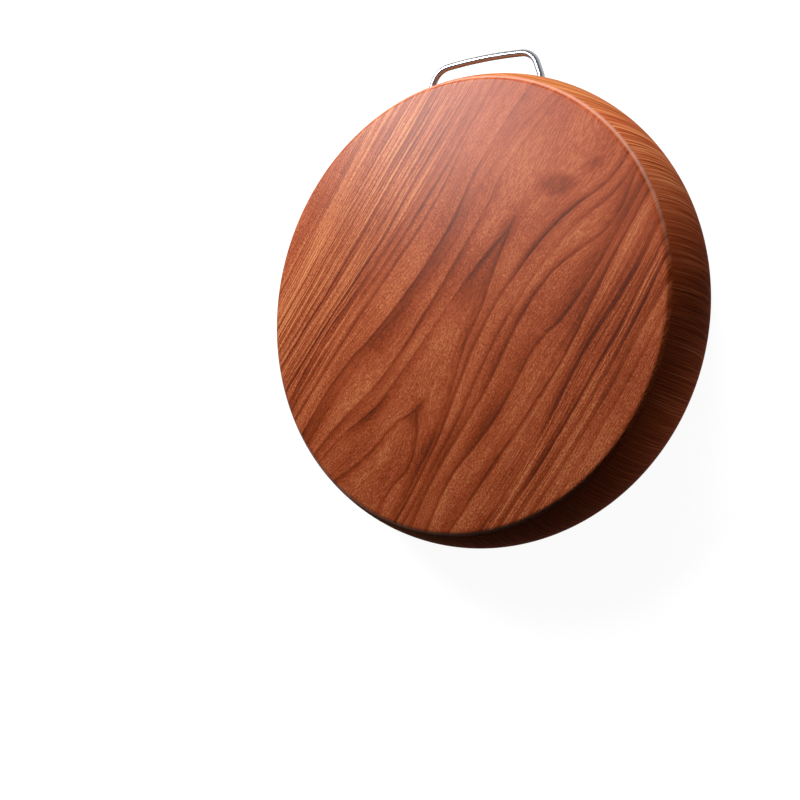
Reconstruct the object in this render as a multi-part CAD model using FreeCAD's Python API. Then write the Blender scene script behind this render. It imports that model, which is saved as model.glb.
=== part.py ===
"""Round chopping block with a bow handle.

One barrel-sided slab of hardwood lies flat on a worktop and can be turned over, because its two
chopping faces are alike. A low bow of round steel rod stands in the rim. Its two legs run into
blind holes, where adhesive sleeves hold them.

Millimetres. The origin is the centre of the bottom face, +Z is up out of the top face, and +Y
points from the middle of the block to the handle.
"""
import FreeCAD, Part
import math
import os

from FreeCAD import Vector

# Wooden block
block_diameter = 300.0        # across the crest of the rim
block_thickness = 60.0        # from one chopping face to the other
rim_bulge = 7.0               # how far the crest stands out past the rim's two edges
edge_chamfer = 2.4            # flat bevel between the rim and each chopping face

# Bow handle, measured on the centre line of the rod
rod_diameter = 4.5
leg_spacing = 83.6            # between the two legs where they enter the rim
leg_lean = math.radians(20.5)  # how far each leg leans towards the other above the rim
foot_bend_radius = 6.0        # where a leaning leg turns into its straight tang
corner_bend_radius = 13.0     # between a leg and the grip
grip_bow_radius = 320.0       # gentle arch of the grip
grip_rise = 14.0              # from the crest of the rim to the middle of the grip
tang_depth = 42.0             # straight end of each leg, inside the block
tip_chamfer = 0.7             # lead-in at the end of each tang

# V-shaped grooves rolled round each tang, which key the adhesive
groove_count = 3
groove_depth = 0.4            # also half the width of a groove at the rod's surface
groove_pitch = 10.0
groove_start = 8.0            # from the tip to the first groove

# Bonded fit of a leg in the block
glue_gap = 0.25               # adhesive between a leg and the wall of its hole
tip_room = 2.0                # adhesive below the tip of a leg
drill_point_angle = math.radians(118.0)

# How far a cutting shape runs past what it cuts
overrun = 1.0

# Sizes that follow from those above
crest_radius = block_diameter / 2
edge_radius = crest_radius - rim_bulge
mid_height = block_thickness / 2
rod_radius = rod_diameter / 2
hole_radius = rod_radius + glue_gap
leg_x = leg_spacing / 2
lip_y = math.sqrt(crest_radius**2 - (leg_x - hole_radius)**2)
tip_y = lip_y - tang_depth
hole_floor_y = tip_y - tip_room
grip_top_y = crest_radius + grip_rise

UP = Vector(0, 0, 1)
OUTWARD = Vector(0, 1, 0)
SIDES = {"right": 1, "left": -1}


def on_mid_plane(x, y):
    """A point in the plane half way up the block, where the handle stands."""
    return Vector(x, y, mid_height)


def outline(points):
    """Edges through the points in turn, where a pair of points is the middle and end of an arc."""
    edges = []
    here = points[0]
    for step in points[1:]:
        if isinstance(step, tuple):
            middle, end = step
            edges.append(Part.Arc(here, middle, end).toShape())
        else:
            end = step
            edges.append(Part.LineSegment(here, end).toShape())
        here = end
    return Part.Wire(edges)


def block_blank():
    """The turned slab before drilling: flat faces, bevelled edges and a barrel-shaped rim."""
    flat_radius = edge_radius - edge_chamfer
    rim_top = block_thickness - edge_chamfer
    half_section = outline([
        Vector(0, 0, 0),
        Vector(flat_radius, 0, 0),
        Vector(edge_radius, 0, edge_chamfer),
        (Vector(crest_radius, 0, mid_height), Vector(edge_radius, 0, rim_top)),
        Vector(flat_radius, 0, block_thickness),
        Vector(0, 0, block_thickness),
        Vector(0, 0, 0),
    ])
    return Part.Face(half_section).revolve(Vector(0, 0, 0), UP, 360)


def leg_hole(side):
    """The space that a drill takes out of the rim for one leg, with its pointed bottom."""
    floor = on_mid_plane(side * leg_x, hole_floor_y)
    depth = crest_radius + overrun - hole_floor_y
    bore = Part.makeCylinder(hole_radius, depth, floor, OUTWARD)
    point_length = hole_radius / math.tan(drill_point_angle / 2)
    point = Part.makeCone(hole_radius, 0, point_length, floor, -OUTWARD)
    return bore.fuse(point).removeSplitter()


def mirrored(point):
    """The same point on the other side of the handle's middle."""
    return Vector(-point.x, point.y, point.z)


def handle_path():
    """Centre line of the rod, from the right tang's lead-in to the left one's."""
    up_leg = Vector(-math.sin(leg_lean), math.cos(leg_lean), 0)
    inward = Vector(-math.cos(leg_lean), -math.sin(leg_lean), 0)
    half_lean = Vector(math.cos(leg_lean / 2), math.sin(leg_lean / 2), 0)

    # The straight tang ends at the lip of the hole, and the foot bend starts there
    tang_start = on_mid_plane(leg_x, tip_y + tip_chamfer)
    lip = on_mid_plane(leg_x, lip_y)
    foot_centre = on_mid_plane(leg_x - foot_bend_radius, lip_y)
    foot_middle = foot_centre + half_lean * foot_bend_radius
    foot_end = foot_centre - inward * foot_bend_radius

    # The corner bend touches the leaning leg and the inside of the grip's arch
    grip_centre = on_mid_plane(0, grip_top_y - grip_bow_radius)
    across = foot_end + inward * corner_bend_radius - grip_centre
    along = across.dot(up_leg)
    reach = grip_bow_radius - corner_bend_radius
    leg_length = math.sqrt(along**2 - across.dot(across) + reach**2) - along
    corner_centre = foot_end + up_leg * leg_length + inward * corner_bend_radius
    to_grip = (corner_centre - grip_centre).normalize()
    leg_top = corner_centre - inward * corner_bend_radius
    corner_middle = corner_centre + (to_grip - inward).normalize() * corner_bend_radius
    grip_end = grip_centre + to_grip * grip_bow_radius
    grip_top = on_mid_plane(0, grip_top_y)

    return outline([
        tang_start,
        lip,
        (foot_middle, foot_end),
        leg_top,
        (corner_middle, grip_end),
        (grip_top, mirrored(grip_end)),
        (mirrored(corner_middle), mirrored(leg_top)),
        mirrored(foot_end),
        (mirrored(foot_middle), mirrored(lip)),
        mirrored(tang_start),
    ])


def groove_ring(x, y):
    """The ring that one V-shaped groove takes out of a tang whose axis is at x."""
    clear_of_rod = Vector(rod_radius + groove_depth, 0, 0)
    flank = OUTWARD * (2 * groove_depth)
    bottom = Vector(rod_radius - groove_depth, 0, 0)
    axis_point = on_mid_plane(x, y)
    corners = [bottom, clear_of_rod + flank, clear_of_rod - flank, bottom]
    section = outline([axis_point + corner for corner in corners])
    return Part.Face(section).revolve(axis_point, OUTWARD, 360)


def bow_handle():
    """One bent rod: grip, two corner bends, two leaning legs and two grooved tangs."""
    path = handle_path()
    section = Part.Wire(Part.makeCircle(rod_radius, path.Vertexes[0].Point, OUTWARD))
    rod = path.makePipeShell([section], True, False)
    expected = math.pi * rod_radius**2 * path.Length
    print(f"rod length {path.Length:.2f} mm, volume {rod.Volume:.1f}, expected {expected:.1f}")
    for side in SIDES.values():
        tip = on_mid_plane(side * leg_x, tip_y)
        rod = rod.fuse(Part.makeCone(rod_radius - tip_chamfer, rod_radius, tip_chamfer, tip, OUTWARD))
    rod = rod.removeSplitter()
    for side in SIDES.values():
        for number in range(groove_count):
            rod = rod.cut(groove_ring(side * leg_x, tip_y + groove_start + number * groove_pitch))
    return rod


def save(name, shape):
    """Write one piece as its own solid."""
    solid = shape.Solids[0]
    print(f"{name}: solids {len(shape.Solids)}, valid {solid.isValid()}, volume {solid.Volume:.1f} mm3")
    solid.exportStep(f"parts/{name}.step")


os.makedirs("parts", exist_ok=True)

blank = block_blank()
handle = bow_handle()
holes = {name: leg_hole(side) for name, side in SIDES.items()}

save("wood_block", blank.cut(list(holes.values())))
save("bow_handle", handle)
for name, hole in holes.items():
    save(f"{name}_leg_adhesive", hole.common(blank).cut(handle))
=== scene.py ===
# %% [markdown]
# # A round chopping block
#
# The real object is one thick slab of red-brown hardwood, turned to a disc with a barrel-shaped
# rim, and a low bow of polished steel rod that stands in the rim to carry it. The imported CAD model
# is loaded first, as a fixed frame: it says where every piece is and how large it is. The two
# pieces that show are then modelled again with clean, smooth meshes, and every piece gets the
# finish of the real one.

# %% Load the frame
import math

import bmesh
import bpy
from mathutils import Matrix, Vector


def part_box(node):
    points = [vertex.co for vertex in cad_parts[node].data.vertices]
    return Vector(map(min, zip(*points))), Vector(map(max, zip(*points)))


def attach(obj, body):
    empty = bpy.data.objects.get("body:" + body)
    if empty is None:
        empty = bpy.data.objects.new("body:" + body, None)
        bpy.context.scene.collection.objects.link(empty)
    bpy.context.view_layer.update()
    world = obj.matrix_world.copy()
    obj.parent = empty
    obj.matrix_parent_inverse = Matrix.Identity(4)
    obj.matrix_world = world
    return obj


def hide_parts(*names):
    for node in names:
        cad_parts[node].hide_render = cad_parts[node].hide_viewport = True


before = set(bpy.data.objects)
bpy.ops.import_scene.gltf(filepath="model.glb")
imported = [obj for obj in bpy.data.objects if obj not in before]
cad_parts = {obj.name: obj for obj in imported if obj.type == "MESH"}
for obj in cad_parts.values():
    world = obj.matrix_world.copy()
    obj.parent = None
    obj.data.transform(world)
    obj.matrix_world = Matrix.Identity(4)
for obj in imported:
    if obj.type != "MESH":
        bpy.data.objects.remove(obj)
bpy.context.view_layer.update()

MM = 0.001
scene = bpy.context.scene
scene.view_settings.view_transform = "Standard"

# %% [markdown]
# ## Camera
#
# The photograph looks steeply down on the chopping face, with the handle at the top of the
# picture. The camera could be set by its three turning angles, but a place, a point to look at and
# a direction that is up in the picture are easier to read. All of them, and the focal length, were
# found by fitting the block's outline and edges to the photograph's.

# %% Camera
camera_place = Vector((440.6, -132.5, 749.5)) * MM
camera_aim = Vector((-37.9, -58.6, 60.0)) * MM
picture_up = Vector((0.0267, 0.9958, 0.0881))
focal_length = 60.41
sensor_width = 36.0

camera = bpy.data.objects.new("camera", bpy.data.cameras.new("camera"))
camera.data.sensor_width = sensor_width
camera.data.lens = focal_length
backward = (camera_place - camera_aim).normalized()
sideways = picture_up.cross(backward).normalized()
upward = backward.cross(sideways)
turned = Matrix((sideways, upward, backward)).transposed().to_4x4()
camera.matrix_world = Matrix.Translation(camera_place) @ turned
scene.collection.objects.link(camera)
scene.camera = camera
print("camera looks from", round((camera_place - camera_aim).length, 3), "m")

# %% [markdown]
# ## Small helpers
#
# A colour is written as it looks on a screen, as a hex value, and turned to the linear light that
# shaders work in. A shader node is added with its settings and its links in one call, so that a
# material reads as a list of steps. A finished bmesh becomes an object that stays at the origin,
# with its place in its mesh, as the CAD pieces have it.

# %% Colour, node and object helpers
def linear(hex_colour):
    """The linear RGBA of an sRGB hex colour."""
    channels = [int(hex_colour[i:i + 2], 16) / 255 for i in (1, 3, 5)]
    light = [c / 12.92 if c <= 0.04045 else ((c + 0.055) / 1.055) ** 2.4 for c in channels]
    return (*light, 1.0)


def add(tree, kind, inputs=None, **settings):
    """One shader node. An input is a value, a socket, or a node whose first output is linked."""
    made = tree.nodes.new("ShaderNode" + kind)
    for name, value in settings.items():
        setattr(made, name, value)
    for socket, value in (inputs or {}).items():
        if isinstance(value, bpy.types.Node):
            value = value.outputs[0]
        if isinstance(value, bpy.types.NodeSocket):
            tree.links.new(value, made.inputs[socket])
        else:
            made.inputs[socket].default_value = value
    return made


def new_material(name):
    """An empty material, and the node tree to build it in."""
    material = bpy.data.materials.new(name)
    material.use_nodes = True
    material.node_tree.nodes.clear()
    return material, material.node_tree


def new_object(name, mesh):
    """An object at the origin that holds a finished bmesh."""
    data = bpy.data.meshes.new(name)
    mesh.to_mesh(data)
    mesh.free()
    made = bpy.data.objects.new(name, data)
    scene.collection.objects.link(made)
    return made


print("a mid grey on screen is", round(linear("#808080")[0], 3), "in linear light")

# %% [markdown]
# ## The wooden block
#
# On the real block the rim is a shallow barrel, and both chopping faces end in a flat bevel whose
# edges are sanded until they lose their sharpness. A cylinder with a bulge pulled into it would
# come close, but a lathe makes the real shape, so a spin makes it here. One vertex is spun into
# the barrel's arc, the bevels and faces are joined to it as straight edges, and that half section
# is spun once round the block's axis. The last step of each face is a narrow ring beside the
# bevel, which keeps the sanded edge from pulling at the wide flat face.

# %% Sizes of the block
block_low, block_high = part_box("wood_block")
crest_radius = -block_low.y
thickness = block_high.z - block_low.z
mid_height = (block_low.z + block_high.z) / 2
rim_bulge = 7.0 * MM
edge_chamfer = 2.4 * MM
edge_radius = crest_radius - rim_bulge
flat_radius = edge_radius - edge_chamfer
merge_distance = 0.001 * MM
print("block is", round(2 * crest_radius / MM, 2), "mm across")
print("block is", round(thickness / MM, 2), "mm thick")

# %% Half section
barrel_steps = 28
barrel_rise = thickness / 2 - edge_chamfer
barrel_radius = (barrel_rise**2 + rim_bulge**2) / (2 * rim_bulge)
barrel_centre = Vector((crest_radius - barrel_radius, 0, mid_height))
barrel_angle = 2 * math.asin(barrel_rise / barrel_radius)

slab = bmesh.new()
lower_edge = slab.verts.new((edge_radius, 0, block_low.z + edge_chamfer))
arc = bmesh.ops.spin(
    slab, geom=[lower_edge], cent=barrel_centre, axis=(0, -1, 0), angle=barrel_angle,
    steps=barrel_steps)
upper_edge = [item for item in arc["geom_last"] if isinstance(item, bmesh.types.BMVert)][0]
for edge, level in ((lower_edge, block_low.z), (upper_edge, block_high.z)):
    here = edge
    for radius in (flat_radius, flat_radius - edge_chamfer, 0):
        step = slab.verts.new((radius, 0, level))
        slab.edges.new((here, step))
        here = step
print("half section has", len(slab.verts), "points")
print("barrel radius is", round(barrel_radius / MM, 1), "mm")

# %% Spin
turn_steps = 288
bmesh.ops.spin(
    slab, geom=slab.verts[:] + slab.edges[:], cent=(0, 0, 0), axis=(0, 0, 1), angle=math.tau,
    steps=turn_steps, use_merge=True)
bmesh.ops.remove_doubles(slab, verts=slab.verts[:], dist=merge_distance)
bmesh.ops.recalc_face_normals(slab, faces=slab.faces[:])
print("block turned with", len(slab.faces), "faces")

# %% Sand the edges
edge_sanding = 1.0 * MM
sanding_steps = 3
corner_angle = math.radians(8)
# A face whose normal is this upright belongs to a flat chopping face, and stays flat shaded
flat_normal = 0.9999
corners = [edge for edge in slab.edges if edge.calc_face_angle(0) > corner_angle]
bmesh.ops.bevel(
    slab, geom=corners, offset=edge_sanding, offset_type="OFFSET", affect="EDGES",
    segments=sanding_steps, profile=0.5, material=-1)
for face in slab.faces:
    face.smooth = abs(face.normal.z) < flat_normal
block = new_object("turned_block", slab)
print("sanded", len(corners), "edges")

# %% [markdown]
# ## The holes for the legs
#
# Each leg of the handle stands in a blind hole that an ordinary twist drill leaves, with a pointed
# bottom. The holes could be left out, as they hardly show, but then the legs would sink into solid
# wood. A drill-shaped cutter is extruded from a circle and taken out of the block by a Boolean,
# which is applied at once, and the lips of the holes are kept crisp.

# %% Sizes of the holes
rod_radius = 2.25 * MM
glue_gap = 0.25 * MM
leg_x = 41.8 * MM
tang_depth = 42.0 * MM
tip_room = 2.0 * MM
drill_point_angle = math.radians(118)
hole_radius = rod_radius + glue_gap
lip_y = math.sqrt(crest_radius**2 - (leg_x - hole_radius)**2)
tip_y = lip_y - tang_depth
hole_floor_y = tip_y - tip_room
print("holes are", round(2 * hole_radius / MM, 2), "mm wide")
print("legs end at y", round(tip_y / MM, 2), "mm")

# %% Lengthen a rod by one ring
rod_sides = 32
along_y = Matrix.Rotation(math.radians(-90), 4, "X")


def edges_among(rod, verts):
    """The edges of a mesh that run between the given vertices."""
    chosen = set(verts)
    return [edge for edge in rod.edges if all(vert in chosen for vert in edge.verts)]


def push_on(rod, ring, step, scale=1.0):
    """Extrude the open ring at a rod's end by one step, and give back the new ring."""
    made = bmesh.ops.extrude_edge_only(rod, edges=ring)["geom"]
    verts = [item for item in made if isinstance(item, bmesh.types.BMVert)]
    bmesh.ops.translate(rod, verts=verts, vec=step)
    middle = sum((vert.co for vert in verts), Vector()) / len(verts)
    bmesh.ops.scale(rod, verts=verts, vec=(scale, scale, scale), space=Matrix.Translation(-middle))
    return edges_among(rod, verts)


print("rods and drills have", rod_sides, "sides")

# %% Two drills
drill_overrun = 1.0 * MM
point_length = hole_radius / math.tan(drill_point_angle / 2)
drill_start_y = crest_radius + drill_overrun

drills = bmesh.new()
for side in (-1, 1):
    start = Matrix.Translation((side * leg_x, drill_start_y, mid_height)) @ along_y
    circle = bmesh.ops.create_circle(
        drills, cap_ends=True, segments=rod_sides, radius=hole_radius, matrix=start)
    ring = edges_among(drills, circle["verts"])
    ring = push_on(drills, ring, Vector((0, hole_floor_y - drill_start_y, 0)))
    push_on(drills, ring, Vector((0, -point_length, 0)), 0)
bmesh.ops.remove_doubles(drills, verts=drills.verts[:], dist=merge_distance)
bmesh.ops.recalc_face_normals(drills, faces=drills.faces[:])
drill = new_object("drill", drills)
print("drill points are", round(point_length / MM, 2), "mm long")

# %% Drill the block
crisp_angle = math.radians(35)
cut = block.modifiers.new("drill", "BOOLEAN")
cut.operation = "DIFFERENCE"
cut.object = drill
cut.solver = "EXACT"
evaluated = block.evaluated_get(bpy.context.evaluated_depsgraph_get())
drilled = bpy.data.meshes.new_from_object(evaluated)
block.modifiers.clear()
block.data = drilled
bpy.data.objects.remove(drill)
block.data.set_sharp_from_angle(angle=crisp_angle)
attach(block, "root")
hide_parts("wood_block")
print("block drilled, now", len(block.data.polygons), "faces")

# %% [markdown]
# ## Hardwood: where a point lies in the grain
#
# The wood is a dense red-brown tropical hardwood, flat-sawn, sanded and oiled. On such a face the
# growth rings show as pointed arches along the heart line, and as close, nearly straight lines on
# both sides of it. A Wave texture could draw stripes, and a Noise texture could bend them, but
# their arches never lie where this block's do. So the pattern starts from two numbers at every
# point, in millimetres: how far it lies along the grain, and how far across. Both drift with
# depth, because the rings slope through the plank, and so the underside isn't a copy of the top.

# %% Along and across the grain
hardwood, wood = new_material("oiled_red_hardwood")
grain_angle = math.radians(58)
drift_along = -0.6
drift_across = 0.12

place = add(wood, "Mapping", {
    "Vector": add(wood, "TexCoord").outputs["Object"], "Scale": (1 / MM, 1 / MM, 1 / MM)})
level = add(wood, "SeparateXYZ", {0: place}).outputs["Z"]
depth = add(wood, "Math", {0: block_high.z / MM, 1: level}, operation="SUBTRACT")
grain = add(wood, "SeparateXYZ", {
    0: add(wood, "Mapping", {"Vector": place, "Rotation": (0, 0, -grain_angle)})})
along = add(wood, "Math", {
    0: depth, 1: drift_along, 2: grain.outputs["X"]}, operation="MULTIPLY_ADD")
straight_across = add(wood, "Math", {
    0: depth, 1: drift_across, 2: grain.outputs["Y"]}, operation="MULTIPLY_ADD")
print("grain runs at", round(math.degrees(grain_angle)), "degrees to the X axis")

# %% [markdown]
# ## Wobble of the fibres
#
# Fibres grow round small troubles in the tree, so no grain line is ruled straight. Each pattern
# could be bent by a noise of its own, but then the lines and the fibres between them would cross.
# One soft noise is added to the distance across the grain instead, and everything drawn later
# sways with it. It is longer along the grain than across, as fibres bend slowly.

# %% Wobble
wobble_length = 30.0
wobble_width = 9.0
wobble_depth = 40.0
wobble_size = 2.0

wobble_place = add(wood, "CombineXYZ", {
    0: add(wood, "Math", {0: along, 1: wobble_length}, operation="DIVIDE"),
    1: add(wood, "Math", {0: straight_across, 1: wobble_width}, operation="DIVIDE"),
    2: add(wood, "Math", {0: depth, 1: wobble_depth}, operation="DIVIDE")})
wobble = add(wood, "TexNoise", {"Vector": wobble_place, "Scale": 1.0, "Detail": 2.0})
wobble_shift = add(wood, "Math", {
    0: wobble, 1: wobble_size, 2: -wobble_size / 2}, operation="MULTIPLY_ADD")
across = add(wood, "Math", {0: straight_across, 1: wobble_shift}, operation="ADD")
print("fibres wobble by", wobble_size / 2, "mm to either side at most")

# %% [markdown]
# ## Growth lines
#
# Each ring of growth ends in a dark edge of late wood: sharp on its outer side, and fading over
# some millimetres towards the heart. Near the heart line two edges meet in an arch. A picture of
# wood would hold such lines, but this script draws them: every edge is one Float Curve, which
# gives its distance across the grain for each distance along it. The courses are listed as a few
# points each, because a curve is easy to move point by point until an arch lies right. As rings
# never cross, each curve is then held below the one before it.

# %% Courses of the growth lines
# Darkness, build-up in mm, side of the heart line, where an arch ends, and (along, across) in mm
growth_lines = [
    (0.50, 3.0, 1, None, [(-60, 126.5), (20, 124.3), (60, 122.3), (140, 117)]),
    (0.55, 4.0, 1, None, [(-100, 97.3), (-20, 90), (60, 84), (110, 80)]),
    (0.55, 4.0, 1, None, [(-110, 85), (-60, 80.5), (0, 73), (60, 69.5), (120, 65)]),
    (0.65, 6.0, 1, None, [(-115, 77.7), (-65, 76.5), (-10, 67.5), (60, 60.5), (130, 58)]),
    (0.70, 4.0, 1, None, [(-110, 74), (-30, 66), (0, 61), (55, 54.5), (120, 51.5)]),
    (0.50, 4.0, 1, None, [(-120, 67), (-60, 62.3), (0, 54), (50, 48.7), (90, 48.8), (130, 45)]),
    (0.85, 15.0, 1, None, [
        (-130, 56.5), (-70, 50.3), (-50, 44), (-10, 35.5), (30, 30.4), (90, 31.5), (140, 25)]),
    (0.50, 5.0, 1, None, [
        (-130, 49.5), (-60, 42), (0, 27), (35, 22), (70, 24), (100, 20), (140, 8)]),
    (0.70, 6.0, 1, None, [
        (-135, 40.5), (-110, 35), (-60, 20.5), (0, 15), (60, 12.5), (85, 13.5), (140, 3)]),
    (0.62, 9.0, 1, 60, [
        (-138, 34.5), (-120, 30.5), (-80, 14.5), (-60, 11.2), (0, 2.5), (40, -4.2), (60, -9.7),
        (140, -9.7)]),
    (0.65, 6.0, 1, -66, [
        (-140, 17), (-108, 2.5), (-85, -3), (-66, -12.9), (-30, -10.5), (60, -9.9), (140, -9.9)]),
    (0.50, 5.0, -1, -66, [
        (-137, -24.5), (-120, -24.2), (-100, -28.5), (-80, -21), (-66, -13.3), (-30, -10.9),
        (60, -10.2), (140, -10.2)]),
    (0.75, 8.0, -1, 60, [
        (-138, -36.5), (-90, -35.5), (-50, -30), (-20, -22.5), (10, -19), (30, -15), (60, -10.5),
        (140, -10.5)]),
    (0.80, 5.0, -1, None, [
        (-135, -39.3), (-80, -37.3), (0, -27.2), (40, -30), (70, -36), (90, -44), (110, -54),
        (140, -57)]),
    (0.50, 4.0, -1, None, [
        (-132, -44.5), (-60, -43), (10, -38.6), (60, -44.2), (80, -49.5), (110, -62), (140, -64)]),
    (0.75, 6.0, -1, None, [
        (-130, -51), (-100, -47.8), (-40, -49.5), (15, -47.2), (45, -50), (65, -58), (85, -68.5),
        (120, -67.5)]),
    (0.75, 14.0, -1, None, [
        (-125, -61), (-93, -58.3), (-45, -65), (12, -66.5), (30, -72), (85, -75.2), (118, -74.8)]),
    (0.80, 8.0, -1, None, [(-118, -75.3), (-60, -80.3), (10, -85), (50, -82.5), (105, -80)]),
    (0.75, 8.0, -1, None, [(-105, -93.5), (-50, -97), (25, -94.5), (60, -97), (105, -95.5)]),
    (0.75, 5.0, -1, None, [(-95, -104), (0, -107), (95, -103)]),
    (0.60, 4.0, -1, None, [(-90, -110), (0, -114), (90, -110)]),
    (0.55, 4.0, -1, None, [(-80, -117), (0, -120), (80, -118)]),
    (0.55, 4.0, -1, None, [(-65, -126), (0, -128), (60, -126)]),
]
point_count = sum(len(row[-1]) for row in growth_lines)
print("placed", len(growth_lines), "growth lines by", point_count, "points")

# %% Lines as curves
# A Float Curve runs from 0 to 1, so the face's middle lies at a half on both of its axes
face_span = 300.0
curve_middle = 0.5
share_along = add(wood, "Math", {
    0: along, 1: 1 / face_span, 2: curve_middle}, operation="MULTIPLY_ADD")

lines = []
for *_, course in growth_lines:
    curve = add(wood, "FloatCurve", {"Value": share_along})
    points = curve.mapping.curves[0].points
    spots = [(u / face_span + curve_middle, v / face_span + curve_middle) for u, v in course]
    points[0].location = spots[0]
    points[1].location = spots[-1]
    for spot in spots[1:-1]:
        points.new(*spot)
    curve.mapping.extend = "HORIZONTAL"
    curve.mapping.update()
    lines.append(add(wood, "Math", {
        0: curve, 1: face_span, 2: -face_span * curve_middle}, operation="MULTIPLY_ADD"))
print("drew", len(lines), "curves over", face_span, "mm of grain")

# %% Keep the lines in order
least_gap = 0.15
ordered = []
for line in lines:
    if ordered:
        limit = add(wood, "Math", {0: ordered[-1], 1: least_gap}, operation="SUBTRACT")
        line = add(wood, "Math", {0: line, 1: limit}, operation="MINIMUM")
    ordered.append(line)
print("rings never cross, and keep", least_gap, "mm at least")

# %% [markdown]
# ## Late wood
#
# A line only becomes wood when its edge gets a breadth. Going towards the heart, the tone rises in
# about a millimetre, falls fast over the dark rim of the ring, and then fades over its build-up.
# A colour ramp on one repeating texture would give every ring the same profile, so each line gets
# its own. The arches end softly at their tips. Towards one end of the plank the lines are made
# paler and quieter: a painted sheen, standing for the glare that washes out the grain there.

# %% Late wood
edge_outside = -0.8
edge_inside = 0.7
dark_rim_width = 2.4
dark_rim_share = 0.5
build_up_share = 0.6
tip_fade = (-4, 8)
# Painted sheen: towards this end of the plank, lines and pores are made paler and quieter
sheen_quiet_start = 40.0
sheen_quiet_full = 95.0
sheen_quiet_strength = 0.45
sheen_quieted_end = add(wood, "MapRange", {
    "Value": along, "From Min": sheen_quiet_start, "From Max": sheen_quiet_full,
    "To Min": 1.0, "To Max": sheen_quiet_strength})

late_wood = None
for line, (darkness, build_up, heart_side, tip, _) in zip(ordered, growth_lines):
    gap = add(wood, "Math", {0: line, 1: across}, operation="SUBTRACT")
    inward = add(wood, "Math", {0: gap, 1: heart_side}, operation="MULTIPLY")
    edge = add(wood, "MapRange", {
        "Value": inward, "From Min": edge_outside, "From Max": edge_inside})
    dark_rim = add(wood, "MapRange", {
        "Value": inward, "From Min": 0.0, "From Max": dark_rim_width,
        "To Min": dark_rim_share * darkness, "To Max": 0.0})
    late_growth = add(wood, "MapRange", {
        "Value": inward, "From Min": 0.0, "From Max": build_up,
        "To Min": build_up_share * darkness, "To Max": 0.0})
    fade = add(wood, "Math", {0: dark_rim, 1: late_growth}, operation="ADD")
    band = add(wood, "Math", {0: edge, 1: fade}, operation="MULTIPLY")
    if tip is not None:
        stop = add(wood, "MapRange", {
            "Value": along, "From Min": tip + tip_fade[0], "From Max": tip + tip_fade[1],
            "To Min": 1.0, "To Max": 0.0})
        band = add(wood, "Math", {0: band, 1: stop}, operation="MULTIPLY")
    if heart_side > 0:
        band = add(wood, "Math", {0: band, 1: sheen_quieted_end}, operation="MULTIPLY")
    if late_wood is not None:
        band = add(wood, "Math", {0: late_wood, 1: band}, operation="MAXIMUM")
    late_wood = band
print("late wood drawn, material has", len(wood.nodes), "nodes so far")

# %% [markdown]
# ## Straightened grain
#
# Round an arch the fibres squeeze and spread with the rings. Fibres that are drawn on the plain
# distance across would run straight through the lines. So a second distance is added up from ring
# to ring, in which every ring has one even width, and the fibre textures are drawn on that.

# %% Straightened grain
means = [sum(v for _, v in row[-1]) / len(row[-1]) for row in growth_lines]
before_first = add(wood, "Math", {0: ordered[0], 1: across}, operation="SUBTRACT")
straightened = add(wood, "Math", {0: before_first, 1: 0.0}, operation="MINIMUM")
for i in range(1, len(ordered)):
    share = add(wood, "MapRange", {
        "Value": across, "From Min": ordered[i - 1], "From Max": ordered[i],
        "To Min": 0.0, "To Max": means[i - 1] - means[i]})
    straightened = add(wood, "Math", {0: straightened, 1: share}, operation="ADD")
past_last = add(wood, "Math", {0: ordered[-1], 1: across}, operation="SUBTRACT")
past_last = add(wood, "Math", {0: past_last, 1: 0.0}, operation="MAXIMUM")
straightened = add(wood, "Math", {0: straightened, 1: past_last}, operation="ADD")
print("rings are", round((means[0] - means[-1]) / (len(means) - 1), 1), "mm wide on average")

# %% [markdown]
# ## Stripes, threads, vessels and pores
#
# Between the growth lines the eye sees clouds of deeper colour, stripes a few millimetres wide,
# fine threads, and the short dark ends of vessels and pores. All of them are noises stretched
# along the grain, so one table of lengths and widths in millimetres makes them. Real pores here
# are about 0.2 mm wide, too fine to show, so they are drawn at 0.5 mm. Stripes and threads belong
# to the flanks, where the saw cuts the rings steeply. They are calmer on the right flank, and fade
# on a plain strip at each edge.

# %% Fibre textures
layer_depth = 60.0
textures = {}
# What each is drawn on, its length and width in mm, and the detail of its noise
for name, step, length, width, detail in (
        ("cloud", straightened, 60.0, 14.0, 1),
        ("stripe", straightened, 240.0, 2.0, 2),
        ("thread", straightened, 120.0, 0.65, 0),
        ("vessel", straightened, 6.0, 0.6, 0),
        ("pore", across, 1.6, 0.5, 0)):
    spot = add(wood, "CombineXYZ", {
        0: add(wood, "Math", {0: along, 1: length}, operation="DIVIDE"),
        1: add(wood, "Math", {0: step, 1: width}, operation="DIVIDE"),
        2: add(wood, "Math", {0: depth, 1: layer_depth}, operation="DIVIDE")})
    textures[name] = add(wood, "TexNoise", {
        "Vector": spot, "Scale": 1.0, "Detail": detail, "Roughness": 0.6})
print("fibre textures:", ", ".join(textures))

# %% Where the flanks are
heart_line = -11.0
flank_start = 45.0
flank_full = 100.0
flank_least = 0.1
# From and to in mm across the grain, and the strength of the flank's stripes at both
calm_places = [(126.0, 129.0, 1.0, 0.3), (-60.0, -20.0, 0.7, 1.0), (-124.0, -112.0, 0.35, 1.0)]

from_heart = add(wood, "Math", {0: across, 1: heart_line}, operation="SUBTRACT")
flank = add(wood, "MapRange", {
    "Value": add(wood, "Math", {0: from_heart}, operation="ABSOLUTE"),
    "From Min": flank_start, "From Max": flank_full, "To Min": flank_least, "To Max": 1.0},
    interpolation_type="SMOOTHSTEP")
for near, far, strength_near, strength_far in calm_places:
    calm = add(wood, "MapRange", {
        "Value": across, "From Min": near, "From Max": far,
        "To Min": strength_near, "To Max": strength_far})
    flank = add(wood, "Math", {0: flank, 1: calm}, operation="MULTIPLY")
print("flanks start", flank_start, "mm from the heart line")

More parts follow.
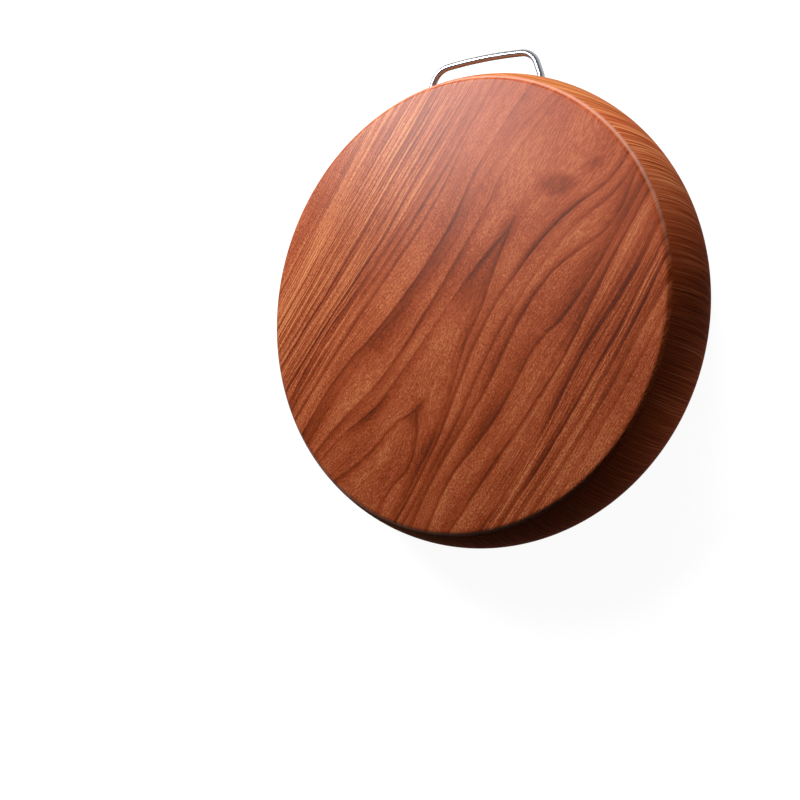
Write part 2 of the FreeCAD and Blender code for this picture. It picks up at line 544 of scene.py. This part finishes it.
# %% [markdown]
# ## Knot and stains
#
# A small knot, a few darker smudges and some paler places break the even grain. They could be
# painted on a mask, but soft ellipses in grain coordinates are enough: each has a centre, a half
# length, a half width, a turn and a strength, where a negative strength is paler.

# %% Marks
# In half lengths and half widths of the ellipse
stain_full = 0.35
stain_ends = 1.35
# Along, across, half length and half width in mm, turn in degrees, and strength
marks = [
    (93, -23.5, 13.5, 7, -60, 0.30),
    (114, -40, 7, 4, -45, 0.14),
    (-72, -14, 12, 7, 0, 0.16),
    (-120, -15, 14, 5, 0, 0.07),
    (-107, -8, 8, 4, 0, -0.12),
    (30, -8, 46, 8, -5, 0.15),
    (-95, -56, 34, 10, 0, -0.20),
    (-110, 12, 25, 14, 0, 0.07),
    (62, -103, 75, 18, 0, 0.09),
    (118, 0, 26, 18, 0, 0.05),
    (0, 116, 220, 9, -1.5, -0.14),
]
grain_place = add(wood, "CombineXYZ", {0: along, 1: across})
stain = None
for u, v, half_length, half_width, turn, strength in marks:
    centred = add(wood, "VectorMath", {0: grain_place, 1: (u, v, 0)}, operation="SUBTRACT")
    ellipse = add(wood, "Mapping", {
        "Vector": centred, "Rotation": (0, 0, math.radians(turn)),
        "Scale": (half_length, half_width, 1)}, vector_type="TEXTURE")
    from_middle = add(wood, "VectorMath", {0: ellipse}, operation="LENGTH").outputs["Value"]
    mark = add(wood, "MapRange", {
        "Value": from_middle, "From Min": stain_ends, "From Max": stain_full,
        "To Min": 0.0, "To Max": strength}, interpolation_type="SMOOTHSTEP")
    stain = mark if stain is None else add(wood, "Math", {0: stain, 1: mark}, operation="ADD")
print("placed", len(marks), "marks")

# %% [markdown]
# ## Tone of the chopping face
#
# Tone is one number, from pale early wood at 0 to the darkest line at 1. It could be mixed from
# colours at once, but a number is easier to balance. The late wood is laid on an even tone, more
# strongly where the cloud is dark, and each fibre texture then pulls the tone a little up and
# down round its middle. Pores are weaker on dark lines, and at the end of the plank where the
# painted sheen washes out the grain.

# %% Tone of the face
mean_tone = 0.34
noise_middle = 0.5
cloud_reach = 0.2
line_weakest = 0.4
line_strongest = 0.8
pore_on_lines = 0.35
line_strength = add(wood, "MapRange", {
    "Value": textures["cloud"],
    "From Min": noise_middle - cloud_reach, "From Max": noise_middle + cloud_reach,
    "To Min": line_weakest, "To Max": line_strongest})
pore_strength = add(wood, "MapRange", {
    "Value": late_wood, "To Min": 1.0, "To Max": pore_on_lines})
# Painted sheen also weakens the pores at that end
pore_strength = add(wood, "Math", {0: pore_strength, 1: sheen_quieted_end}, operation="MULTIPLY")
face_tone = add(wood, "Math", {
    0: late_wood, 1: line_strength, 2: mean_tone}, operation="MULTIPLY_ADD")
face_tone = add(wood, "Math", {0: face_tone, 1: stain}, operation="ADD")
# How far the noise is read to both sides of its middle, the tones there, and where it shows
for name, spread, lightest, darkest, mask in (
        ("cloud", cloud_reach, -0.1, 0.1, 1.0),
        ("stripe", 0.2, -0.17, 0.2, flank),
        ("thread", 0.12, -0.24, 0.24, flank),
        ("vessel", 0.12, -0.05, 0.09, 1.0),
        ("pore", 0.12, -0.13, 0.18, pore_strength)):
    shade = add(wood, "MapRange", {
        "Value": textures[name],
        "From Min": noise_middle - spread, "From Max": noise_middle + spread,
        "To Min": lightest, "To Max": darkest})
    face_tone = add(wood, "Math", {0: shade, 1: mask, 2: face_tone}, operation="MULTIPLY_ADD")
print("face tone is", mean_tone, "between the lines")

# %% [markdown]
# ## Grain on the rim
#
# The rim cuts the same rings across their ends. At the end of the plank they show as fine steep
# arcs, and towards the long sides as broader lines, nearly straight through the thickness. Carrying
# the face's pattern over the edge would smear it, so the rim has a pattern of its own: depth minus
# an arch that rises faster the further a point faces away from the end, with a noise drawn along
# it. Fine and broad lines are two such noises, mixed by that same angle.

# %% Which way the rim faces
end_azimuth = math.radians(70)
end_direction = Vector((math.cos(end_azimuth), math.sin(end_azimuth), 0))
plan = add(wood, "VectorMath", {0: place, 1: (1, 1, 0)}, operation="MULTIPLY")
reach = add(wood, "VectorMath", {0: plan}, operation="LENGTH").outputs["Value"]
outward = add(wood, "VectorMath", {0: plan}, operation="NORMALIZE")
facing_end = add(wood, "VectorMath", {
    0: outward, 1: end_direction}, operation="DOT_PRODUCT").outputs["Value"]
off_end = add(wood, "Math", {0: 1.0, 1: facing_end}, operation="SUBTRACT")
end_on = add(wood, "Math", {0: facing_end}, operation="ABSOLUTE")
print("fibre ends face", round(math.degrees(end_azimuth)), "degrees from the X axis")

# %% Arcs and lines of the rim
arch_rise = 263.0
arch_steepening = 1093.0
end_line = 3.2
side_line = 10.0
line_length = 70.0
# One minus the cosine of the angle to the end of the plank
end_lines_until = 0.25
side_lines_from = 0.6

steepness = add(wood, "Math", {
    0: off_end, 1: arch_steepening, 2: arch_rise}, operation="MULTIPLY_ADD")
arch = add(wood, "Math", {0: steepness, 1: off_end}, operation="MULTIPLY")
rise = add(wood, "Math", {0: depth, 1: arch}, operation="SUBTRACT")
rim_lines = {}
# Width of a line in mm of arch, how far the noise is read to both sides, and the tones there
for name, line_step, spread, lightest, darkest in (
        ("end", end_line, 0.19, -0.25, 0.8),
        ("side", side_line, 0.17, 0.15, 1.0)):
    rim_place = add(wood, "CombineXYZ", {
        0: add(wood, "Math", {0: rise, 1: line_step}, operation="DIVIDE"),
        1: add(wood, "Math", {0: depth, 1: line_length}, operation="DIVIDE")})
    rim_noise = add(wood, "TexNoise", {
        "Vector": rim_place, "Scale": 1.0, "Detail": 2.0, "Roughness": 0.7})
    rim_lines[name] = add(wood, "MapRange", {
        "Value": rim_noise,
        "From Min": noise_middle - spread, "From Max": noise_middle + spread,
        "To Min": lightest, "To Max": darkest})
sideways_share = add(wood, "MapRange", {
    "Value": off_end, "From Min": end_lines_until, "From Max": side_lines_from})
rim_tone = add(wood, "Mix", {0: sideways_share, 2: rim_lines["end"], 3: rim_lines["side"]})
print("rim lines are", end_line, "to", side_line, "mm of arch apart")

# %% Face and rim together
face_until = flat_radius / MM + 1.6
rim_from = edge_radius / MM + 0.2
on_rim = add(wood, "MapRange", {"Value": reach, "From Min": face_until, "From Max": rim_from})
whole_tone = add(wood, "Mix", {0: on_rim, 2: face_tone, 3: rim_tone})
print("face turns to rim from a radius of", round(face_until, 1), "to", round(rim_from, 1), "mm")

# %% [markdown]
# ## Colour of the wood
#
# Oil deepens this wood from a light orange-brown early wood to a dark red-brown late wood, and a
# colour ramp gives each tone its colour. Two places differ from it. Fibre ends on the rim look
# duller and yellower. The bevel at the edge of the chopping face is made pale where the rim cuts
# across the fibres: partly real sanding wear, and partly a painted highlight where the edge
# catches the light. Both are mixed in by where they are, instead of having materials of their own.

# %% Tone to colour
tone_colours = (
    (0.0, "#c98252"), (0.25, "#ae5b37"), (0.45, "#984322"), (0.7, "#793111"), (1.0, "#4f1d0c"))
toned = add(wood, "ValToRGB", {0: whole_tone})
stops = toned.color_ramp.elements
for spot, _ in tone_colours[1:-1]:
    stops.new(spot)
for stop, (_, colour) in zip(stops, tone_colours):
    stop.color = linear(colour)
print("wood has", len(tone_colours), "tones")

# %% Fibre ends
# Cosine of the angle to the end of the plank, and the most that the colour is mixed in
end_grain_start = 0.9
end_grain_share = 0.55
end_grain_colour = "#8f5a2c"
end_grain = add(wood, "MapRange", {
    "Value": end_on, "From Min": end_grain_start, "From Max": 1.0,
    "To Min": 0.0, "To Max": end_grain_share})
end_grain = add(wood, "Math", {0: end_grain, 1: on_rim}, operation="MULTIPLY")
coloured = add(wood, "Mix", {
    0: end_grain, 6: toned, 7: linear(end_grain_colour)}, data_type="RGBA").outputs["Result"]
print("fibre ends show", round(math.degrees(math.acos(end_grain_start))), "degrees to both sides")

# %% Worn and highlit edge
# Distances from the middle of the bevel in mm, and cosines of the angle to the end of the plank
# The pale bevel is partly real sanding wear and partly a painted highlight on the lit edge
wear_full = 0.3
wear_ends = 1.2
wear_share = 0.4
cross_cut_start = 0.4
cross_cut_full = 0.8
wear_and_highlight_colour = "#d9b09c"
edge_middle = (flat_radius + edge_radius) / 2 / MM
off_edge = add(wood, "Math", {0: reach, 1: edge_middle}, operation="SUBTRACT")
wear_and_highlight = add(wood, "MapRange", {
    "Value": add(wood, "Math", {0: off_edge}, operation="ABSOLUTE"),
    "From Min": wear_full, "From Max": wear_ends, "To Min": wear_share, "To Max": 0.0})
# Held to where the rim cuts across the fibres, which also keeps the painted highlight off the edge's
# shaded side
cross_cut = add(wood, "MapRange", {
    "Value": end_on, "From Min": cross_cut_start, "From Max": cross_cut_full})
wear_and_highlight = add(wood, "Math", {0: wear_and_highlight, 1: cross_cut}, operation="MULTIPLY")
coloured = add(wood, "Mix", {
    0: wear_and_highlight, 6: coloured, 7: linear(wear_and_highlight_colour)}, data_type="RGBA").outputs["Result"]
print("edge is worn pale at a radius of", round(edge_middle, 1), "mm")

# %% [markdown]
# ## Gloss and pores of the wood
#
# The chopping face is sanded and oiled, which gives a soft sheen, while the rim stays dry and
# matt. A clear coat would look like varnish, so the sheen comes from roughness alone, with a low
# specular level. The pores are also tiny pits, which a weak bump shows in the sheen.

# %% Gloss, bump and shader
face_roughness = 0.32
rim_roughness = 1.0
oil_until = flat_radius / MM - 0.3
dry_from = flat_radius / MM + 0.5
oil_specular = 0.17
pit_strength = 0.25
pore_relief = 0.05 * MM
gloss = add(wood, "MapRange", {
    "Value": reach, "From Min": oil_until, "From Max": dry_from,
    "To Min": face_roughness, "To Max": rim_roughness})
pits = add(wood, "Bump", {
    "Strength": pit_strength, "Distance": pore_relief, "Height": textures["pore"]})
oiled = add(wood, "BsdfPrincipled", {
    "Base Color": coloured, "Roughness": gloss, "Specular IOR Level": oil_specular,
    "Normal": pits})
add(wood, "OutputMaterial", {"Surface": oiled})
block.data.materials.append(hardwood)
print("hardwood has", len(wood.nodes), "nodes")

# %% [markdown]
# ## The bow handle
#
# The handle is one length of polished steel rod, bent cold at two feet and two corners, with a
# grip that arches a little. Its two straight ends go into the block and have three grooves each,
# which hold the adhesive. A curve with a round bevel could draw it, but its bends would only be
# near to true arcs. Instead a circle is pushed along the straight parts, narrowed at each groove,
# and spun round the centre of each bend, for one half, and the half is mirrored.

# %% Sizes of the handle
leg_lean = math.radians(20.5)
foot_bend_radius = 6.0 * MM
corner_bend_radius = 13.0 * MM
grip_bow_radius = 320.0 * MM
grip_rise = 14.0 * MM

up_leg = Vector((-math.sin(leg_lean), math.cos(leg_lean), 0))
inward_leg = Vector((-math.cos(leg_lean), -math.sin(leg_lean), 0))
foot_centre = Vector((leg_x - foot_bend_radius, lip_y, mid_height))
foot_end = foot_centre - inward_leg * foot_bend_radius
grip_centre = Vector((0, crest_radius + grip_rise - grip_bow_radius, mid_height))
from_grip = foot_end + inward_leg * corner_bend_radius - grip_centre
from_grip_along = from_grip.dot(up_leg)
corner_reach = grip_bow_radius - corner_bend_radius
leg_length = math.sqrt(
    from_grip_along**2 - from_grip.length_squared + corner_reach**2) - from_grip_along
corner_centre = foot_end + up_leg * leg_length + inward_leg * corner_bend_radius
to_corner = (corner_centre - grip_centre).normalized()
grip_angle = math.atan2(to_corner.y, to_corner.x)
print("leaning part of a leg is", round(leg_length / MM, 2), "mm long")

# %% Grooved tang
tip_chamfer = 0.7 * MM
groove_count = 3
groove_depth = 0.4 * MM
groove_pitch = 10.0 * MM
groove_start = 8.0 * MM

stations = [(tip_chamfer, rod_radius)]
for number in range(groove_count):
    middle = groove_start + number * groove_pitch
    stations += [
        (middle - groove_depth, rod_radius), (middle, rod_radius - groove_depth),
        (middle + groove_depth, rod_radius)]
stations.append((tang_depth, rod_radius))

rod = bmesh.new()
start = Matrix.Translation((leg_x, tip_y, mid_height)) @ along_y
radius_here = rod_radius - tip_chamfer
circle = bmesh.ops.create_circle(
    rod, cap_ends=True, segments=rod_sides, radius=radius_here, matrix=start)
ring = edges_among(rod, circle["verts"])
reached = 0.0
for station, radius in stations:
    ring = push_on(rod, ring, Vector((0, station - reached, 0)), radius / radius_here)
    reached, radius_here = station, radius
print("tang is", round(reached / MM, 2), "mm long with", groove_count, "grooves")

# %% Bend the rod
foot_steps = 8
bow_steps = 20
bends = [
    (foot_centre, leg_lean, foot_steps),
    (corner_centre, grip_angle - leg_lean, bow_steps),
    (grip_centre, math.radians(90) - grip_angle, bow_steps),
]
for centre, angle, steps in bends:
    turn = bmesh.ops.spin(rod, geom=ring, cent=centre, axis=(0, 0, 1), angle=angle, steps=steps)
    ring = [item for item in turn["geom_last"] if isinstance(item, bmesh.types.BMEdge)]
    if centre == foot_centre:
        ring = push_on(rod, ring, up_leg * leg_length)
bmesh.ops.mirror(
    rod, geom=rod.verts[:] + rod.edges[:] + rod.faces[:], matrix=Matrix(),
    merge_dist=merge_distance, axis="X")
bmesh.ops.remove_doubles(rod, verts=rod.verts[:], dist=merge_distance)
bmesh.ops.recalc_face_normals(rod, faces=rod.faces[:])
for face in rod.faces:
    face.smooth = True
open_edges = sum(edge.is_boundary for edge in rod.edges)
print("rod has", len(rod.faces), "faces and", open_edges, "open edges")

# %% Handle as a piece
handle = new_object("bent_rod_handle", rod)
handle.data.set_sharp_from_angle(angle=crisp_angle)
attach(handle, "root")
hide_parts("bow_handle")
print("handle reaches y", round(max(vert.co.y for vert in handle.data.vertices) / MM, 2), "mm")

# %% [markdown]
# ## Polished steel
#
# The rod is stainless steel, drawn and then polished along its length on a soft wheel. That gives
# the eye bright streaks of the surroundings, slightly blurred across by the polishing marks, and a
# thin grey film from handling. A mirror-smooth metal would look like a chrome part, so a noise
# that is long on the grip varies the roughness and lifts a weak bump. Real marks are a few
# hundredths of a millimetre apart, too fine to show, so they are drawn at 0.6 mm.

# %% Steel
mark_length = 20.0 * MM
mark_width = 0.6 * MM
mark_relief = 0.02 * MM
mark_strength = 0.05
polish_reach = 0.15
brightest_polish = 0.03
dullest_polish = 0.09
steel_material, steel = new_material("polished_stainless_steel")
polish_place = add(steel, "Mapping", {
    "Vector": add(steel, "TexCoord").outputs["Object"],
    "Scale": (1 / mark_length, 1 / mark_width, 1 / mark_width)})
polishing = add(steel, "TexNoise", {"Vector": polish_place, "Scale": 1.0, "Detail": 1.0})
shimmer = add(steel, "MapRange", {
    "Value": polishing, "From Min": noise_middle - polish_reach,
    "From Max": noise_middle + polish_reach, "To Min": brightest_polish, "To Max": dullest_polish})
scratches = add(steel, "Bump", {
    "Strength": mark_strength, "Distance": mark_relief, "Height": polishing})
polished = add(steel, "BsdfPrincipled", {
    "Base Color": linear("#9da1a6"), "Metallic": 0.88, "Roughness": shimmer,
    "Specular Tint": linear("#9a9a9a"), "Normal": scratches})
add(steel, "OutputMaterial", {"Surface": polished})
handle.data.materials.append(steel_material)
print("steel has", len(steel.nodes), "nodes")

# %% [markdown]
# ## Adhesive
#
# A sleeve of epoxy holds each leg in its hole, and only a thin amber ring of it shows at the lip.
# The CAD sleeves have the right shape, so they stay and only get a material. Poured epoxy cures
# smooth but not flat: it sags a little, and is paler where it is thin. One soft noise of about
# 1.5 mm gives the colour, the gloss and the bump together.

# %% Epoxy
sag_size = 1.5 * MM
sag_relief = 0.05 * MM
sag_strength = 0.3
sag_reach = 0.2
wettest = 0.2
driest = 0.4
epoxy_material, epoxy = new_material("cured_amber_epoxy")
sag = add(epoxy, "TexNoise", {
    "Vector": add(epoxy, "TexCoord").outputs["Object"], "Scale": 1 / sag_size, "Detail": 1.0})
amber = add(epoxy, "Mix", {0: sag, 6: linear("#7d4d20"), 7: linear("#a06c34")}, data_type="RGBA")
wetness = add(epoxy, "MapRange", {
    "Value": sag, "From Min": noise_middle - sag_reach, "From Max": noise_middle + sag_reach,
    "To Min": wettest, "To Max": driest})
ripples = add(epoxy, "Bump", {
    "Strength": sag_strength, "Distance": sag_relief, "Height": sag})
cured = add(epoxy, "BsdfPrincipled", {
    "Base Color": amber.outputs["Result"], "Roughness": wetness, "Normal": ripples})
add(epoxy, "OutputMaterial", {"Surface": cured})
for name in ("left_leg_adhesive", "right_leg_adhesive"):
    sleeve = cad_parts[name]
    sleeve.data.materials.clear()
    sleeve.data.materials.append(epoxy_material)
    print(name, "gets", sleeve.data.materials[0].name)

# %% [markdown]
# ## Floor
#
# The block is shown on plain white paper. A strongly lit floor could be white, but its light would
# then fill the dark side of the rim. So the paper reflects little, and a Light Path node adds a
# white of its own for what the camera and mirror-like surfaces see of it. The block's shadow stays
# on it, faint and soft. The floor lies just clear of the block's underside, so that the two never
# flicker into each other.

# %% Floor
floor_size = 6.0
floor_gap = 0.1 * MM
paper_white = 0.95
paper_reflection = (0.2, 0.2, 0.2, 1)
paper_mesh = bmesh.new()
bmesh.ops.create_grid(paper_mesh, x_segments=1, y_segments=1, size=floor_size)
bmesh.ops.translate(paper_mesh, verts=paper_mesh.verts[:], vec=(0, 0, block_low.z - floor_gap))
floor = new_object("floor", paper_mesh)

paper_material, paper = new_material("white_paper")
path = add(paper, "LightPath").outputs
seen = add(paper, "Math", {
    0: path["Is Camera Ray"], 1: path["Is Glossy Ray"]}, operation="MAXIMUM")
seen = add(paper, "Math", {0: seen, 1: path["Is Transmission Ray"]}, operation="MAXIMUM")
glow = add(paper, "Math", {0: seen, 1: paper_white}, operation="MULTIPLY")
matt = add(paper, "BsdfDiffuse", {"Color": paper_reflection})
white = add(paper, "Emission", {"Color": (1, 1, 1, 1), "Strength": glow})
add(paper, "OutputMaterial", {"Surface": add(paper, "AddShader", {0: matt, 1: white})})
floor.data.materials.append(paper_material)
print("floor is", 2 * floor_size, "m wide")

# %% [markdown]
# ## Studio walls
#
# A white studio wall stands all round and a dim ceiling closes it. Steel needs both, because its
# light and dark bands are nothing but their mirror images. The wall fades into the ceiling with
# height, and like the floor it is there for the camera and for reflections. For all other light
# the room is nearly dark, so that the lamps alone model the wood.

# %% World
wall_white = 0.9
ceiling_grey = 0.15
# Height of a direction, from 0 at the horizon to 1 straight up
wall_until = 0.2
ceiling_from = 0.45
room_light = 0.01
world = bpy.data.worlds.new("studio")
scene.world = world
world.use_nodes = True
room = world.node_tree
room.nodes.clear()
path = add(room, "LightPath").outputs
seen = add(room, "Math", {
    0: path["Is Camera Ray"], 1: path["Is Glossy Ray"]}, operation="MAXIMUM")
seen = add(room, "Math", {0: seen, 1: path["Is Transmission Ray"]}, operation="MAXIMUM")
direction = add(room, "SeparateXYZ", {0: add(room, "TexCoord").outputs["Generated"]})
wall = add(room, "MapRange", {
    "Value": direction.outputs["Z"], "From Min": wall_until, "From Max": ceiling_from,
    "To Min": wall_white, "To Max": ceiling_grey})
strength = add(room, "Math", {0: wall, 1: seen, 2: room_light}, operation="MULTIPLY_ADD")
walls = add(room, "Background", {"Color": (1, 1, 1, 1), "Strength": strength})
add(room, "OutputWorld", {"Surface": walls})
print("walls at", wall_white, "and ceiling at", ceiling_grey)

# %% [markdown]
# ## Lamps
#
# Two large lamps light the block from behind. A low one by the handle, as from a window, makes the
# rim bright there and lets it fall into shade at the lower right. A higher one at the left lights
# the chopping face, and its mirror image lies on the upper half as a soft sheen. One large lamp
# could light both, but it would take the shade from the rim. A third, tiny one by the floor gives
# the shaded side of the rim the weak light that a white table throws back at it. Only the higher
# lamp shows in glossy surfaces, because the image of the low one would blot out half of the face
# in views from the front.

# %% Three lamps
lamp_aim = Vector((0, 0, 0.055))
# Place and size in metres, power in watts, and whether glossy surfaces mirror it
for name, lamp_place, size, power, mirrored in (
        ("window", Vector((0.104, 0.489, 0.254)), 0.3, 3.45, False),
        ("softbox", Vector((-0.365, 0.37, 0.54)), 0.25, 5.0, True),
        ("bounce", Vector((0.198, -0.101, 0.008)), 0.03, 0.011, False)):
    light = bpy.data.lights.new(name, "AREA")
    light.shape = "SQUARE"
    light.size = size
    light.energy = power
    lamp = bpy.data.objects.new(name, light)
    lamp.visible_camera = False
    lamp.visible_glossy = mirrored
    turned = (lamp_place - lamp_aim).to_track_quat("Z", "Y").to_matrix().to_4x4()
    lamp.matrix_world = Matrix.Translation(lamp_place) @ turned
    scene.collection.objects.link(lamp)
    print(name, "is", round((lamp_place - lamp_aim).length, 3), "m from the block")
